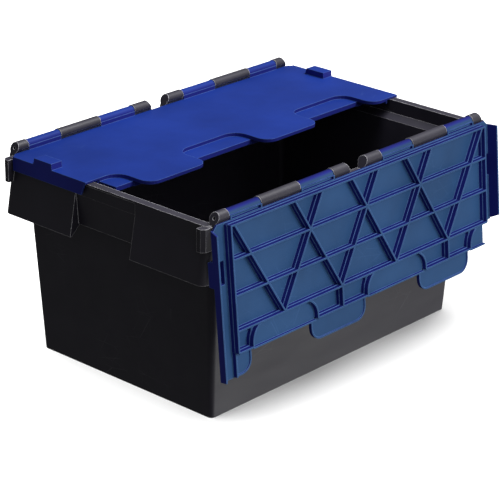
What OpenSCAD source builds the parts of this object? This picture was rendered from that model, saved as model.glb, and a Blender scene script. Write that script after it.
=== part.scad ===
// Stacking crate with two hinged lids that meet in a wavy line along the middle.
// Frame: origin under the middle of the base, X along the length, Z up, millimetres.
// The rear lid is drawn closed, the front lid is drawn hanging open.

/* [Crate body] */
// Length over the end bands
body_length = 600; // [500:1:800]
// Half the base length
base_half_x = 254.5; // [200:1:330]
// Half the base width
base_half_y = 165.5; // [130:1:230]
// Height of the rim
rim_height = 294; // [200:1:400]
// Half the rim length
rim_half_x = 289; // [240:1:370]
// Half the rim width
rim_half_y = 191.5; // [150:0.5:260]
// Half the length of the mouth
mouth_half_x = 276.5; // [230:0.5:360]
// Half the width of the mouth
mouth_half_y = 183.5; // [140:0.5:250]
// Wall thickness
wall = 3; // [2:0.1:5]
// Floor thickness
floor_thick = 3.5; // [2:0.1:6]
// Depth of the hollow under the floor
foot_height = 2.5; // [1:0.1:6]
// How far the walls lean out per millimetre of height
wall_draft = 0.058; // [0:0.001:0.12]

/* [Band round the rim] */
// Height of the lower edge of the band
band_bottom = 214; // [150:1:260]
// Height where the end bands start to lean out
band_break = 274; // [220:1:290]
// Half the width of the hand hold in each end
grip_half = 59.5; // [40:0.5:90]
// Height of the lower edge of the hand hold
grip_bottom = 229; // [200:1:260]
// How far the hand hold is set back at the rim
grip_step = 1.6; // [0:0.1:3]
// How far the hand hold leans in
grip_lean = 5.5; // [2:0.5:12]
// Radius of the band corners
band_corner = 12; // [4:0.5:30]

/* [Lids] */
// Half the lid length
lid_half_x = 292.7; // [240:0.1:370]
// Lid plate thickness
lid_thick = 3; // [2:0.1:5]
// Gap between lid plate and rim
lid_gap = 0.4; // [0.3:0.1:1]
// Distance between wave crossings along the lid
wave_pitch = 117.5; // [100:0.5:140]
// Depth of the wave to each side of the middle
wave_depth = 31.5; // [15:0.5:45]
// Radius of the lobe corners
wave_round = 19; // [8:0.5:24]
// Half the gap between the two lids, along Y
wave_gap = 1.5; // [1:0.1:4]
// Height of the ribs under the lid
rib_height = 12; // [6:0.5:14]
// Thickness of the ribs under the lid
rib_thick = 2.4; // [1.5:0.1:4]
// Depth of the skirt at the tab end of a lid, below the plate top
skirt_depth = 20; // [10:0.5:24]
// Depth of the skirt at the lobe end of a lid
lobe_skirt_depth = 10.5; // [6:0.5:18]
// Height of the stacking lugs
lug_height = 9; // [4:0.5:14]
// Angle the front lid has swung from closed
front_lid_open = 264.5; // [0:0.5:264.5]

/* [Hinges] */
// Distance of each hinge line from the middle
hinge_y = 190; // [150:0.5:260]
// Height of the hinge lines
hinge_z = 303.5; // [250:0.5:420]
// Radius of the knuckles on the crate body
body_knuckle_r = 8; // [6:0.1:12]
// Radius of the knuckles on the lids
lid_knuckle_r = 7; // [5:0.1:11]
// Radius of the hinge rods
rod_r = 2; // [1.5:0.1:3]
// Rod clearance in the body knuckles
rod_grip = 0.02; // [0.01:0.01:0.1]
// Rod clearance in the lid knuckles
rod_run = 0.08; // [0.01:0.01:0.1]

/* [Hidden] */
$fn = 48;

black = [0.13, 0.12, 0.14];
blue = [0.12, 0.22, 0.60];
steel = [0.70, 0.71, 0.73];

// knuckle boundaries along one hinge, measured from the middle of the crate
knuckle_x = [21.4, 50.8, 119.5, 196.6, 258, 274.8];
knuckle_gap = 0.5;
ramp_length = 8;
rod_start = 20;
rod_end = 273;

half_length = body_length / 2;
// the walls step out here to the mouth
shoulder_z = 266;
shoulder_rise = 8;
body_corner = 7;
// strip round the underside that the crate stands on, and the ribs across it
foot_width = 8;
foot_rib = 4;
// thin webs and cheeks behind the band
web = 2.5;
web_low = 238;
cheek_y = grip_half - web;
// pads that square off the band corners
pad_near = 179.5;
pad_low = 261;
pad_top = rim_height - 1;
pad_chamfer = 5;
// block under each body knuckle, which runs down the band to a point
pedestal_in = hinge_y - 5.2;
pedestal_out = hinge_y + 5.5;
pedestal_foot = 272;
// larger than anything that is cut away
beyond = 20;

// heights in the lid frame, whose origin lies on the hinge line
plate_top = rim_height + lid_gap + lid_thick - hinge_z;
plate_low = plate_top - lid_thick;
// lip round each lobe, which ends just above the other lid's tabs
lip_height = 2;
lip_wall = 2.2;
lip_low = plate_low - lip_height;
tab_top = lip_low - lid_gap;
tab_low = tab_top - lid_thick;
tab_lip = 4;
rib_low = plate_low - rib_height;
rib_top = plate_low + 0.5;
// thicker root of each rib
root_thick = rib_thick + 1.6;
root_low = plate_low - 0.45 * rib_height;
// depth of the end rib where it passes beside the other lid's tab
end_rib_depth = 6;
lid_edge = 6;
arm_reach = 7.5;
hinge_rib = 9.4;
rib_rows = [56, 105, 154];
lobe_rib = 184;
lobe_inset = 4.5;
end_rib_x = 269.2;
skirt_start = 12;
skirt_wall = 2.5;
tab_skirt_end = 155;
tab_end_x = 266;
tab_reach = hinge_y - 2;
// distances of the recess edges and the lobe tips from the hinge line
recess_r = hinge_y - wave_depth - wave_gap;
tip_r = hinge_y + wave_depth - wave_gap;
recess_round = wave_round + 2 * wave_gap;
lug_near = 53;
lug_far = 91;
lug_length = 19.7;
// the ribs that fan out cross half a wave between the first row and the third
lattice_run = (rib_rows[2] - rib_rows[0]) / (wave_pitch / 2);
// hollow in each arm between hinge line and plate
arm_wall = 2.2;
arm_hollow = 4.5;
arm_hollow_top = 4.7;

module rounded(hx, hy, r) {
    offset(r = r) square([2 * (hx - r), 2 * (hy - r)], center = true);
}

module slab(hx, hy, r, z, thick = 0.01) {
    translate([0, 0, z]) linear_extrude(thick) rounded(hx, hy, r);
}

// loft between two rounded rectangles
module loft(hx1, hy1, r1, z1, hx2, hy2, r2, z2) {
    hull() {
        slab(hx1, hy1, r1, z1);
        slab(hx2, hy2, r2, z2 - 0.01);
    }
}

module mirrored_x() {
    children();
    mirror([1, 0, 0]) children();
}

module mirrored_y() {
    children();
    mirror([0, 1, 0]) children();
}

module mirrored_xy() {
    mirrored_x() mirrored_y() children();
}

// cylinder along X
module rod_x(r, x1, x2) {
    translate([x1, 0, 0]) rotate([0, 90, 0]) cylinder(r = r, h = x2 - x1);
}

function body_x(z) = base_half_x + wall_draft * z;
function body_y(z) = base_half_y + wall_draft * z;

// ---- crate body ----

module tub_outside() {
    loft(base_half_x, base_half_y, body_corner, 0,
         body_x(shoulder_z), body_y(shoulder_z), body_corner + 6, shoulder_z);
    loft(body_x(shoulder_z), body_y(shoulder_z), body_corner + 6, shoulder_z,
         mouth_half_x + wall, mouth_half_y + wall, body_corner + 6, shoulder_z + shoulder_rise);
    translate([0, 0, shoulder_z + shoulder_rise - 0.1])
        linear_extrude(rim_height - shoulder_z - shoulder_rise + 0.1)
            rounded(mouth_half_x + wall, mouth_half_y + wall, body_corner + 6);
}

module tub_inside() {
    low = foot_height + floor_thick;
    loft(body_x(low) - wall, body_y(low) - wall, body_corner - 2, low,
         body_x(shoulder_z) - wall, body_y(shoulder_z) - wall, body_corner + 3, shoulder_z);
    loft(body_x(shoulder_z) - wall, body_y(shoulder_z) - wall, body_corner + 3, shoulder_z - 0.005,
         mouth_half_x, mouth_half_y, body_corner + 3, shoulder_z + shoulder_rise);
    translate([0, 0, shoulder_z + shoulder_rise - 0.1])
        linear_extrude(rim_height - shoulder_z)
            rounded(mouth_half_x, mouth_half_y, body_corner + 3);
}

module band() {
    difference() {
        union() {
            translate([0, 0, band_break]) linear_extrude(rim_height - band_break)
                rounded(rim_half_x, rim_half_y, band_corner);
            loft(half_length, rim_half_y, band_corner, band_bottom,
                 rim_half_x, rim_half_y, band_corner, band_break + 0.01);
        }
        translate([0, 0, band_break - 0.1]) linear_extrude(rim_height - wall - band_break + 0.1)
            rounded(rim_half_x - wall, rim_half_y - wall, band_corner - wall);
        loft(half_length - wall, rim_half_y - wall, band_corner - wall, band_bottom - 1,
             rim_half_x - wall, rim_half_y - wall, band_corner - wall, band_break + 0.01);
        mirrored_x() grip_cut();
    }
    mirrored_x() grip_panel();
}

// outline in the X-Z plane, given a width along Y from the middle or between two places
module across_y(y1, y2) {
    translate([0, y2, 0]) rotate([90, 0, 0]) linear_extrude(y2 - y1) children();
}

// space taken out of an end band for the hand hold
module grip_cut() {
    inside = rim_half_x - 4 * wall;
    across_y(-cheek_y, cheek_y)
        polygon([[rim_half_x - 1.5 * wall, band_break], [rim_half_x - grip_step, band_break],
                 [rim_half_x - grip_step, rim_height - wall], [half_length + beyond, rim_height - wall],
                 [half_length + beyond, band_bottom - beyond], [inside, band_bottom - beyond],
                 [inside, band_break - 10]]);
}

// set back panel over the hand hold, with the cheeks that close its ends
module grip_panel() {
    front = rim_half_x - grip_lean;
    lip = half_length - 0.6;
    across_y(-grip_half + 0.5, grip_half - 0.5)
        polygon([[rim_half_x - grip_step, band_break + 1], [front, grip_bottom],
                 [front - wall, grip_bottom], [rim_half_x - wall - grip_step, band_break + 1]]);
    mirrored_y() across_y(cheek_y, grip_half)
        polygon([[rim_half_x - 1, band_break + 2], [rim_half_x, band_break + 2],
                 [rim_half_x, band_break], [lip, band_bottom + wall],
                 [lip, band_bottom], [half_length - wall, band_bottom],
                 [front - wall, grip_bottom], [rim_half_x - wall, band_break]]);
}

// pad that squares off a band corner under the rim
module corner_pad() {
    inside = rim_half_x - 10;
    translate([0, 0, pad_low]) linear_extrude(pad_top - pad_low)
        polygon([[rim_half_x - wall, pad_near], [half_length, pad_near],
                 [half_length, rim_half_y - pad_chamfer], [half_length - pad_chamfer, rim_half_y],
                 [inside, rim_half_y], [inside, rim_half_y - 2]]);
}

// webs between the band and the wall
module webs() {
    wall_x = body_x(web_low) - 1;
    wall_y = body_y(web_low) - 1;
    high = rim_height - 1 - web_low;
    for (x = [0, 70, 140, 210])
        translate([x - web / 2, wall_y, web_low]) cube([web, rim_half_y - wall / 2 - wall_y, high]);
    for (y = [grip_half + 2, 2 * grip_half + 1])
        translate([wall_x, y - web / 2, web_low]) cube([rim_half_x - wall / 2 - wall_x, web, high]);
}

// one knuckle on its pedestal; a ramp closes an end that has no neighbour
module body_knuckle(x1, x2, ramp1, ramp2) {
    low = ramp1 ? x1 - ramp_length : x1;
    high = ramp2 ? x2 + ramp_length : x2;
    root = rim_half_y - 1;
    difference() {
        union() {
            translate([0, hinge_y, hinge_z]) rod_x(body_knuckle_r, low, high);
            translate([low, pedestal_in, rim_height - 1])
                cube([high - low, pedestal_out - pedestal_in, hinge_z - rim_height + 1]);
            translate([low, 0, 0]) rotate([90, 0, 90]) linear_extrude(high - low)
                polygon([[root, pedestal_foot], [pedestal_out, pedestal_foot + 7],
                         [pedestal_out, rim_height], [root, rim_height]]);
        }
        if (ramp1) translate([x1, 0, 0]) mirror([1, 0, 0]) ramp_cut();
        if (ramp2) translate([x2, 0, 0]) ramp_cut();
    }
}

// everything above a slope that falls from the knuckle top to the rim
module ramp_cut() {
    top = hinge_z + body_knuckle_r;
    far = ramp_length + beyond;
    across_y(hinge_y - beyond, hinge_y + beyond)
        polygon([[0, top + 0.01], [ramp_length, rim_height], [ramp_length, pedestal_foot - beyond],
                 [far, pedestal_foot - beyond], [far, top + beyond], [0, top + beyond]]);
}

module body_knuckles() {
    body_knuckle(knuckle_x[0], knuckle_x[1], true, false);
    body_knuckle(knuckle_x[2], knuckle_x[3], false, false);
    body_knuckle(knuckle_x[4], knuckle_x[5], false, true);
}

// hollow under the floor, with four ribs left standing across it
module foot_hollow() {
    low = -beyond;
    high = foot_height + beyond;
    difference() {
        translate([0, 0, -1]) linear_extrude(foot_height + 1)
            rounded(base_half_x - foot_width, base_half_y - foot_width, body_corner);
        for (x = [-base_half_x / 2, 0, base_half_x / 2])
            translate([x - foot_rib / 2, -base_half_y, low]) cube([foot_rib, 2 * base_half_y, high]);
        translate([-base_half_x, -foot_rib / 2, low]) cube([2 * base_half_x, foot_rib, high]);
    }
}

module crate_body() {
    color(black) difference() {
        union() {
            tub_outside();
            band();
            mirrored_xy() {
                corner_pad();
                webs();
                body_knuckles();
            }
        }
        tub_inside();
        foot_hollow();
        mirrored_xy() translate([0, hinge_y, hinge_z])
            rod_x(rod_r + rod_grip, rod_start - 0.5, half_length);
    }
}

// ---- lids ----
// A lid is drawn shut, hinged at the origin and reaching towards -Y.

function arc(x, y, r, from, to) =
    [for (k = [0:6]) let (a = from + (to - from) * k / 6) [x + r * cos(a), y + r * sin(a)]];

// the wave steps down to a lobe at even crossings and back to a recess at odd ones
function lobe_starts(n) = n % 2 == 0;
function crossing_x(n) = n * wave_pitch + (lobe_starts(n) ? wave_gap : -wave_gap);

function crossing(n) =
    let (x = crossing_x(n), side = lobe_starts(n) ? 1 : -1,
         recess = arc(x - side * recess_round, -recess_r - recess_round, recess_round, 90, 90 - side * 90),
         lobe = arc(x + side * wave_round, -tip_r + wave_round, wave_round, 270 - side * 90, 270))
    side > 0 ? concat(recess, lobe)
             : concat([for (k = [6:-1:0]) lobe[k]], [for (k = [6:-1:0]) recess[k]]);

module lid_outline() {
    cut = 9;
    polygon(concat(
        [[-lid_half_x, -lid_edge - cut], [-lid_half_x, -recess_r]],
        [for (n = [-2:2]) each crossing(n)],
        [[lid_half_x, -tip_r], [lid_half_x, -lid_edge - cut], [lid_half_x - cut, -lid_edge],
         [-lid_half_x + cut, -lid_edge]]));
}

// outer part of the lobe that starts at crossing n, shrunk by inset; the last one ends inside the rim
module lobe(n, inset) {
    near = -hinge_y + 2;
    x1 = crossing_x(n);
    corner = wave_round - inset;
    right = n == 2 ? [[end_rib_x, -tip_r + inset], [end_rib_x, near]]
        : concat(arc(crossing_x(n + 1) - wave_round, -tip_r + wave_round, corner, 270, 360),
                 [[crossing_x(n + 1) - inset, near]]);
    polygon(concat([[x1 + inset, near]], arc(x1 + wave_round, -tip_r + wave_round, corner, 180, 270),
                   right));
}

module lobe_lips() {
    for (n = [-2, 0, 2]) translate([0, 0, lip_low]) linear_extrude(lip_height + 0.5)
        difference() {
            lobe(n, 0);
            lobe(n, lip_wall);
        }
}

// low tabs that fill the recesses of the wave and pass under the other lid's lobes
module tab_outline(near) {
    lap = wave_gap + 2;
    for (span = [[-tab_end_x, -2 * wave_pitch + lap], [-wave_pitch - lap, lap],
                 [wave_pitch - lap, 2 * wave_pitch + lap]])
        translate([span[0], -tab_reach]) square([span[1] - span[0], tab_reach - near]);
}

module tabs() {
    root = recess_r - 4;
    translate([0, 0, tab_low]) linear_extrude(lid_thick) tab_outline(root);
    translate([0, 0, tab_low]) linear_extrude(rib_top - tab_low)
        intersection() {
            tab_outline(root);
            lid_outline();
        }
    translate([0, 0, tab_low - tab_lip]) linear_extrude(tab_lip + 0.5)
        tab_outline(tab_reach - lip_wall);
}

module bar(a, b, thick, low) {
    d = b - a;
    translate([a[0], -a[1], low]) rotate([0, 0, -atan2(d[1], d[0])])
        translate([0, -thick / 2, 0]) cube([norm(d), thick, rib_top - low]);
}

// straight rib on its thicker root, between two points given as [x, distance from the hinge]
module rib(a, b) {
    bar(a, b, rib_thick, rib_low);
    bar(a, b, root_thick, root_low);
}

// rib that runs round a recess corner from the third row to the lobe rib
module corner_rib(thick, low) {
    inner = recess_round + lobe_inset - thick / 2;
    outer = inner + thick;
    start = asin((recess_r + recess_round - rib_rows[2]) / outer);
    translate([-recess_round, 0, low]) linear_extrude(rib_top - low)
        polygon(concat(arc(0, -recess_r - recess_round, inner, start, 0),
                       [[inner, -lobe_rib], [outer, -lobe_rib]],
                       arc(0, -recess_r - recess_round, outer, 0, start)));
}

module slope_rib(n) {
    flip = lobe_starts(n) ? 0 : 1;
    translate([crossing_x(n), 0, 0]) mirror([flip, 0, 0]) {
        corner_rib(rib_thick, rib_low);
        corner_rib(root_thick, root_low);
    }
}

module lid_ribs() {
    for (r = concat([hinge_rib], rib_rows)) rib([-end_rib_x, r], [end_rib_x, r]);
    rib([-end_rib_x, hinge_rib - rib_thick / 2], [-end_rib_x, rib_rows[2]]);
    rib([end_rib_x, hinge_rib - rib_thick / 2], [end_rib_x, lobe_rib]);
    bar([end_rib_x, lobe_rib], [end_rib_x, tip_r - 1], rib_thick, plate_low - end_rib_depth);
    for (n = [-1.5:1.5]) lattice_pair(n * wave_pitch);
    for (n = [-2:2]) slope_rib(n);
    for (n = [-2, 0]) {
        middle = (n + 0.5) * wave_pitch;
        rib([crossing_x(n) + lobe_inset, lobe_rib], [crossing_x(n + 1) - lobe_inset, lobe_rib]);
        rib([middle, rib_rows[2]], [middle, lobe_rib]);
    }
    rib([crossing_x(2) + lobe_inset, lobe_rib], [end_rib_x, lobe_rib]);
}

// two ribs that fan out from a point on the third row towards the hinge
module lattice_pair(x) {
    rise = rib_rows[2] - hinge_rib;
    for (side = [-1, 1]) rib([x, rib_rows[2]], [x + side * rise / lattice_run, hinge_rib]);
}

// outline given as [distance from the hinge, height], run along X from the lid end at x
module along_x(x, length) {
    translate([x, 0, 0]) rotate([90, 0, -90]) linear_extrude(length) children();
}

// end skirt; the lobe end carries on past the middle, the other end stops short
module lid_skirt(lobe_end) {
    low = plate_top - (lobe_end ? lobe_skirt_depth : skirt_depth);
    far = lobe_end ? tip_r : tab_skirt_end;
    slant = lobe_end ? 6 : 0;
    polygon([[skirt_start, plate_top], [skirt_start + slant, low], [far - (lobe_end ? 0 : 7), low],
             [far, plate_low], [far, plate_top]]);
}

// side of a stacking lug, shrunk by a wall for its hollow; the faces slope in towards the top
module lug_side(inset, low) {
    top = plate_top + lug_height - inset;
    polygon([[lug_near + inset, low], [lug_near + 3 + inset, top],
             [lug_far - 1 - inset, top], [lug_far - inset, low]]);
}

// children at the start and with the length of each lid arm, on both halves of the lid
module each_arm() {
    mirrored_x() for (k = [1, 3]) {
        $arm_start = knuckle_x[k] + knuckle_gap;
        $arm_length = knuckle_x[k + 1] - knuckle_gap - $arm_start;
        translate([$arm_start, 0, 0]) children();
    }
}

module lid() {
    hollow_length = lug_length - 2 * skirt_wall;
    difference() {
        union() {
            translate([0, 0, plate_low]) linear_extrude(lid_thick) lid_outline();
            tabs();
            lobe_lips();
            lid_ribs();
            along_x(lid_half_x, skirt_wall) lid_skirt(true);
            along_x(-lid_half_x + skirt_wall, skirt_wall) lid_skirt(false);
            along_x(lid_half_x, lug_length) lug_side(0, plate_low);
            along_x(-lid_half_x + lug_length, lug_length) lug_side(0, plate_low);
            each_arm() {
                rod_x(lid_knuckle_r, 0, $arm_length);
                translate([0, -arm_reach, plate_low]) cube([$arm_length, arm_reach, -plate_low]);
            }
        }
        along_x(lid_half_x - skirt_wall, hollow_length) lug_side(skirt_wall, plate_low - 1);
        along_x(-lid_half_x + lug_length - skirt_wall, hollow_length)
            lug_side(skirt_wall, plate_low - 1);
        each_arm() translate([arm_wall, -lid_edge + 0.7, plate_low - 1])
            cube([$arm_length - 2 * arm_wall, arm_hollow, arm_hollow_top + 1]);
        rod_x(rod_r + rod_run, -lid_half_x, lid_half_x);
    }
}

module rear_lid() {
    color(blue) translate([0, hinge_y, hinge_z]) lid();
}

module front_lid() {
    color(blue) translate([0, -hinge_y, hinge_z]) rotate([front_lid_open, 0, 0])
        rotate([0, 0, 180]) lid();
}

// ---- hinge rods ----

module hinge_rod(side_x, side_y) {
    x1 = side_x > 0 ? rod_start : -rod_end;
    color(steel) translate([0, side_y * hinge_y, hinge_z])
        rod_x(rod_r, x1, x1 + rod_end - rod_start);
}

module rear_left_hinge_rod() { hinge_rod(-1, 1); }
module rear_right_hinge_rod() { hinge_rod(1, 1); }
module front_left_hinge_rod() { hinge_rod(-1, -1); }
module front_right_hinge_rod() { hinge_rod(1, -1); }

crate_body();
rear_lid();
front_lid();
rear_left_hinge_rod();
rear_right_hinge_rod();
front_left_hinge_rod();
front_right_hinge_rod();
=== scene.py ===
"""Looks, light and camera for the stacking crate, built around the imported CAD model."""

from math import cos, radians, sin

import bpy
from mathutils import Matrix, Vector


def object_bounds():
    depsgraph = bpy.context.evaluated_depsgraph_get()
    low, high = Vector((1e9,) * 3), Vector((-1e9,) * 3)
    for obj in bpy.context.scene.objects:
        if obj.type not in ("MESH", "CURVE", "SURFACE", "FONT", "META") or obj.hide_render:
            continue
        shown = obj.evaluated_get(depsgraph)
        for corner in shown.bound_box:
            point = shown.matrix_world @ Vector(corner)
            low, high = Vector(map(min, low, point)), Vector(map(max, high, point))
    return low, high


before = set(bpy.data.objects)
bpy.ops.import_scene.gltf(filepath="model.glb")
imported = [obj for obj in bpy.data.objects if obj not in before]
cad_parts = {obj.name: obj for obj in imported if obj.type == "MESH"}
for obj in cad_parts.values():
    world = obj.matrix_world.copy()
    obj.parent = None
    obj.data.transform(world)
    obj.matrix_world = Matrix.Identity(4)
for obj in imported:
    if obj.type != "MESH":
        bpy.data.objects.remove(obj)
cad_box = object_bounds()
MM = 0.001

# ---- colours, as linear RGB ----
BLACK = (0.0170, 0.0155, 0.0245)
# pale rubbed edges of the black plastic; at this brightness they are also painted edge highlights
BLACK_RUBBED_AND_HIGHLIT = (0.62, 0.61, 0.65)
BLUE = (0.0120, 0.038, 0.270)
# painted sheen: greyer blue for a lid's inside, standing in for the haze of a bright reflection
BLUE_INSIDE_PAINTED_SHEEN = (0.018, 0.053, 0.132)
# painted shade: darker blue for the sides of a lid's ribs, skirts and knuckles
BLUE_SIDES_PAINTED_SHADE = (0.0150, 0.0210, 0.200)
# pale rubbed edges of the blue plastic; at this brightness they are also painted edge highlights
BLUE_RUBBED_AND_HIGHLIT = (0.12, 0.24, 0.55)
STEEL = (0.56, 0.57, 0.60)
FLOOR = (0.90, 0.90, 0.90)

# ---- sizes, in metres ----
EDGE_RADIUS = 1.2 * MM
GRAIN_DEPTH = 0.12 * MM
DRAWN_LINE_DEPTH = 0.02 * MM
FLOOR_HALF = 7.0

# ---- camera, as angles round the crate and a distance ----
CAMERA_AZIMUTH = radians(-47.87)
CAMERA_ELEVATION = radians(22.46)
CAMERA_ROLL = radians(0.77)
CAMERA_DISTANCE = 3.068
CAMERA_LENS = 155.8
CAMERA_AIM = Vector((-0.0486, -0.0447, 0.150))

# angle that the front lid has swung from shut, in the CAD model
FRONT_LID_SWING = radians(264.5)


# ---- node helpers ----
class Nodes:
    """Adds shader nodes to a material or world and links them."""

    def __init__(self, owner):
        owner.use_nodes = True
        self.tree = owner.node_tree
        self.tree.nodes.clear()

    def add(self, kind, inputs=None, **settings):
        node = self.tree.nodes.new(kind)
        for name, value in settings.items():
            setattr(node, name, value)
        for name, value in (inputs or {}).items():
            self.feed(value, node.inputs[name])
        return node

    def feed(self, value, socket):
        """Links an output to a socket, or sets the socket to a plain value."""
        if isinstance(value, bpy.types.NodeSocket):
            self.tree.links.new(value, socket)
        elif socket.type == "RGBA" and len(value) == 3:
            socket.default_value = (*value, 1.0)
        else:
            socket.default_value = value

    def object_coordinates(self, stretch=(1, 1, 1)):
        place = self.add("ShaderNodeTexCoord").outputs["Object"]
        return self.add("ShaderNodeMapping", {"Vector": place, "Scale": stretch}).outputs["Vector"]

    def noise(self, scale, detail=3.0, roughness=0.5, stretch=(1, 1, 1)):
        place = self.object_coordinates(stretch)
        return self.add("ShaderNodeTexNoise", {"Vector": place, "Scale": scale, "Detail": detail,
                                               "Roughness": roughness}).outputs["Fac"]

    def remap(self, value, low, high, to_low=0.0, to_high=1.0):
        return self.add("ShaderNodeMapRange", {"Value": value, "From Min": low, "From Max": high,
                                               "To Min": to_low, "To Max": to_high}).outputs["Result"]

    def math(self, operation, first, second):
        return self.add("ShaderNodeMath", {0: first, 1: second}, operation=operation).outputs["Value"]

    def dot(self, first, second):
        node = self.add("ShaderNodeVectorMath", {0: first, 1: second}, operation="DOT_PRODUCT")
        return node.outputs["Value"]

    def mix(self, amount, first, second):
        """Blends two colours; sockets 6 and 7 of a Mix node hold its colours, output 2 the result."""
        node = self.add("ShaderNodeMix", {"Factor": amount, 6: first, 7: second}, data_type="RGBA")
        return node.outputs[2]


def scaled(colour, amount):
    return tuple(amount * c for c in colour)


# ---- materials ----
def edge_mask(nodes, radius):
    """1 within the radius of a sharp edge and 0 on open surface, and the normal rounded over it."""
    rounded = nodes.add("ShaderNodeBevel", {"Radius": radius}, samples=8).outputs["Normal"]
    flat = nodes.add("ShaderNodeNewGeometry").outputs["Normal"]
    return nodes.remap(nodes.dot(rounded, flat), 0.99, 0.88), rounded


def scratches(nodes, scale, stretch, width):
    """Sparse thin lines: the cell borders of a stretched pattern, kept only in patches."""
    cells = nodes.add("ShaderNodeTexVoronoi", {"Vector": nodes.object_coordinates(stretch), "Scale": scale},
                      feature="DISTANCE_TO_EDGE").outputs["Distance"]
    line = nodes.remap(cells, 0.0, width, 1.0, 0.0)
    patch = nodes.remap(nodes.noise(9.0), 0.56, 0.66)
    return nodes.math("MULTIPLY", line, patch)


def moulded_plastic(name, colour, rubbed_and_highlit_colour, sheen, gloss, edge_rub_and_highlight, underneath=None):
    """Injection-moulded polypropylene: fine grain, faint flow marks, scuffs and pale rubbed edges, which
    are also painted edge highlights.

    A lid carries painted light: the faces turned to the direction underneath get a greyer blue, a painted
    sheen standing in for the haze of a bright reflection, and its sides get a darker blue, painted shade.
    """
    material = bpy.data.materials.new(name)
    nodes = Nodes(material)
    edge, round_normal = edge_mask(nodes, EDGE_RADIUS)
    cloud = nodes.noise(7.0, 4.0, 0.6)
    flow = nodes.noise(30.0, 3.0, 0.5, stretch=(0.25, 1.0, 1.0))
    grain = nodes.noise(1400.0, 2.0, 0.6)
    scuff = nodes.math("ADD", scratches(nodes, 38.0, (1.0, 0.22, 0.9), 0.006),
                       scratches(nodes, 30.0, (0.2, 1.0, 1.1), 0.005))

    if underneath:
        facing = nodes.dot(nodes.add("ShaderNodeTexCoord").outputs["Normal"], underneath)
        # painted shade: faces side-on to the lid turn a darker blue
        colour = nodes.mix(nodes.remap(facing, -0.8, -0.1), colour, BLUE_SIDES_PAINTED_SHADE)
        # painted sheen: faces turned to the inside turn a greyer blue, standing in for the haze of a bright
        # reflection
        colour = nodes.mix(nodes.remap(facing, 0.6, 0.95), colour, BLUE_INSIDE_PAINTED_SHEEN)
    tone = nodes.add("ShaderNodeHueSaturation", {
        "Color": colour, "Value": nodes.remap(cloud, 0.35, 0.65, 0.86, 1.12)}).outputs["Color"]
    patchy = nodes.remap(nodes.noise(60.0, 3.0), 0.30, 0.65, 0.45, 1.0)
    # pale rubbed edges in patches along the edge mask, bright enough to serve as painted edge highlights
    rubbed_and_highlit_edge = nodes.math("MULTIPLY", nodes.math("MULTIPLY", edge, patchy), edge_rub_and_highlight)
    marks = nodes.math("MINIMUM", nodes.math("ADD", rubbed_and_highlit_edge, nodes.math("MULTIPLY", scuff, 0.12)), 1.0)
    base = nodes.mix(marks, tone, rubbed_and_highlit_colour)

    streaks = nodes.math("ADD", flow, nodes.math("MULTIPLY", cloud, 0.6))
    height = nodes.math("ADD", nodes.math("MULTIPLY", grain, 0.5), nodes.math("MULTIPLY", flow, 0.5))
    height = nodes.math("SUBTRACT", height, nodes.math("MULTIPLY", scuff, 0.6))
    bump = nodes.add("ShaderNodeBump", {"Height": height, "Strength": 0.22, "Distance": GRAIN_DEPTH,
                                        "Normal": round_normal})
    shader = nodes.add("ShaderNodeBsdfPrincipled", {
        "Base Color": base, "Roughness": nodes.remap(streaks, 0.55, 1.05, *sheen),
        "Normal": bump.outputs["Normal"], "IOR": 1.49, "Specular IOR Level": gloss})
    nodes.add("ShaderNodeOutputMaterial", {"Surface": shader.outputs["BSDF"]})
    return material


def drawn_steel(name):
    """Bright drawn rod: fine lines along X, a little haze and some dull spots."""
    material = bpy.data.materials.new(name)
    nodes = Nodes(material)
    lines = nodes.noise(900.0, 2.0, 0.6, stretch=(0.02, 1.0, 1.0))
    spots = nodes.noise(120.0, 3.0, 0.6)
    base = nodes.mix(nodes.remap(spots, 0.45, 0.70), STEEL, scaled(STEEL, 0.72))
    bump = nodes.add("ShaderNodeBump", {"Height": lines, "Strength": 0.15, "Distance": DRAWN_LINE_DEPTH})
    shader = nodes.add("ShaderNodeBsdfPrincipled", {
        "Base Color": base, "Roughness": nodes.remap(lines, 0.3, 0.7, 0.24, 0.42), "Metallic": 1.0,
        "Normal": bump.outputs["Normal"]})
    nodes.add("ShaderNodeOutputMaterial", {"Surface": shader.outputs["BSDF"]})
    return material


def studio_floor(name):
    material = bpy.data.materials.new(name)
    nodes = Nodes(material)
    shade = nodes.mix(nodes.noise(3.0), FLOOR, scaled(FLOOR, 0.985))
    shader = nodes.add("ShaderNodeBsdfPrincipled", {"Base Color": shade, "Roughness": 0.9,
                                                    "Specular IOR Level": 0.1})
    nodes.add("ShaderNodeOutputMaterial", {"Surface": shader.outputs["BSDF"]})
    return material


# ---- the crate ----
def lid_plastic(name, swing):
    """Blue plastic of a lid that the CAD model holds open by the angle swing."""
    # the direction underneath picks the faces that get painted sheen and the sides that get painted shade
    underneath = Vector((0, sin(swing), -cos(swing)))
    return moulded_plastic(name, BLUE, BLUE_RUBBED_AND_HIGHLIT, (0.40, 0.52), 0.12, 0.6, underneath)


def dress_crate():
    black = moulded_plastic("black_plastic_moulded", BLACK, BLACK_RUBBED_AND_HIGHLIT, (0.42, 0.54), 0.42, 0.9)
    steel = drawn_steel("rod_steel_drawn")
    looks = {"crate_body": black, "rear_lid": lid_plastic("blue_plastic_rear", 0.0),
             "front_lid": lid_plastic("blue_plastic_front", FRONT_LID_SWING)}
    for name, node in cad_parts.items():
        for slot in node.material_slots:
            slot.material = looks.get(name, steel)


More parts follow.
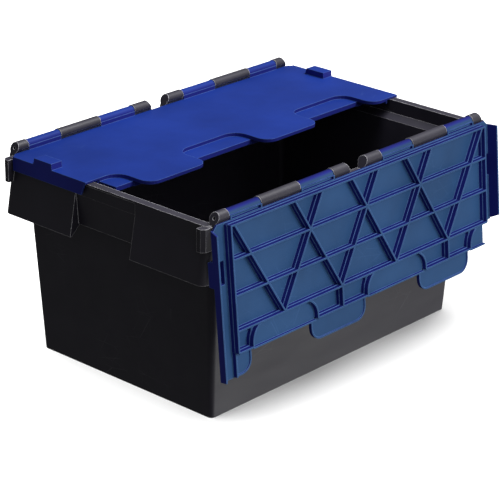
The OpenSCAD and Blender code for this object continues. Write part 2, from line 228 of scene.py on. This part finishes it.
# ---- studio ----
def make_floor():
    corners = [(-FLOOR_HALF, -FLOOR_HALF, 0), (FLOOR_HALF, -FLOOR_HALF, 0),
               (FLOOR_HALF, FLOOR_HALF, 0), (-FLOOR_HALF, FLOOR_HALF, 0)]
    mesh = bpy.data.meshes.new("floor")
    mesh.from_pydata(corners, [], [(0, 1, 2, 3)])
    floor = bpy.data.objects.new("floor", mesh)
    floor.location.z = cad_box[0][2]
    bpy.context.scene.collection.objects.link(floor)
    mesh.materials.append(studio_floor("studio_floor"))
    # the floor takes shadows and throws no light back on the crate
    floor.visible_diffuse = False
    floor.visible_glossy = False
    floor.visible_shadow = False
    return floor


def make_world():
    """A dim surround that brightens towards the front right and above."""
    world = bpy.data.worlds.new("studio")
    bpy.context.scene.world = world
    nodes = Nodes(world)
    toward = Vector((0.45, -0.75, 0.45)).normalized()
    way = nodes.add("ShaderNodeTexCoord").outputs["Generated"]
    glow = nodes.remap(nodes.dot(way, toward), 0.0, 1.0, 0.12, 0.9)
    light = nodes.add("ShaderNodeBackground", {"Color": (1.0, 1.0, 1.0), "Strength": glow})
    nodes.add("ShaderNodeOutputWorld", {"Surface": light.outputs["Background"]})


def collection_of(name, objects):
    group = bpy.data.collections.new(name)
    for obj in objects:
        group.objects.link(obj)
    return group


def area_light(name, place, aim, size, power, lit, shading=None):
    """A square soft light that only shines on the objects in lit; only those in shading shade it."""
    data = bpy.data.lights.new(name, "AREA")
    data.size = size
    data.energy = power
    light = bpy.data.objects.new(name, data)
    light.location = place
    light.rotation_euler = (Vector(aim) - Vector(place)).to_track_quat("-Z", "Y").to_euler()
    bpy.context.scene.collection.objects.link(light)
    light.light_linking.receiver_collection = collection_of(name + "_lit", lit)
    if shading:
        light.light_linking.blocker_collection = collection_of(name + "_shading", shading)


def make_lights(floor):
    """Places in metres, powers in watts; the low light reaches the sides that lean in to the base."""
    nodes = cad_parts
    body, front_lid = nodes["crate_body"], nodes["front_lid"]
    others = [node for node in nodes.values() if node != front_lid]
    area_light("key", (0.9, -1.2, 3.0), (0, 0, 0.2), 1.2, 92, others)
    area_light("front", (0.25, -2.4, 1.3), (0, -0.2, 0.2), 1.2, 62, [front_lid])
    area_light("low", (1.2, -2.3, -0.9), (0, 0, 0.15), 1.8, 21, [body], [body])
    area_light("above", (0.1, -0.3, 2.2), (0, 0, 0.2), 0.8, 45, [body])
    area_light("overhead", (-0.3, 0.4, 2.6), (0, 0, 0), 6.0, 370, [floor])


def make_camera():
    data = bpy.data.cameras.new("camera")
    data.lens = CAMERA_LENS
    camera = bpy.data.objects.new("camera", data)
    bpy.context.scene.collection.objects.link(camera)
    az, el = CAMERA_AZIMUTH, CAMERA_ELEVATION
    back = Vector((sin(az) * cos(el), -cos(az) * cos(el), sin(el)))
    place = CAMERA_AIM + back * CAMERA_DISTANCE
    turn = back.to_track_quat("Z", "Y").to_matrix().to_4x4()
    camera.matrix_world = Matrix.Translation(place) @ turn @ Matrix.Rotation(CAMERA_ROLL, 4, "Z")
    bpy.context.scene.camera = camera


dress_crate()
make_world()
make_lights(make_floor())
make_camera()
bpy.context.scene.view_settings.view_transform = "Standard"
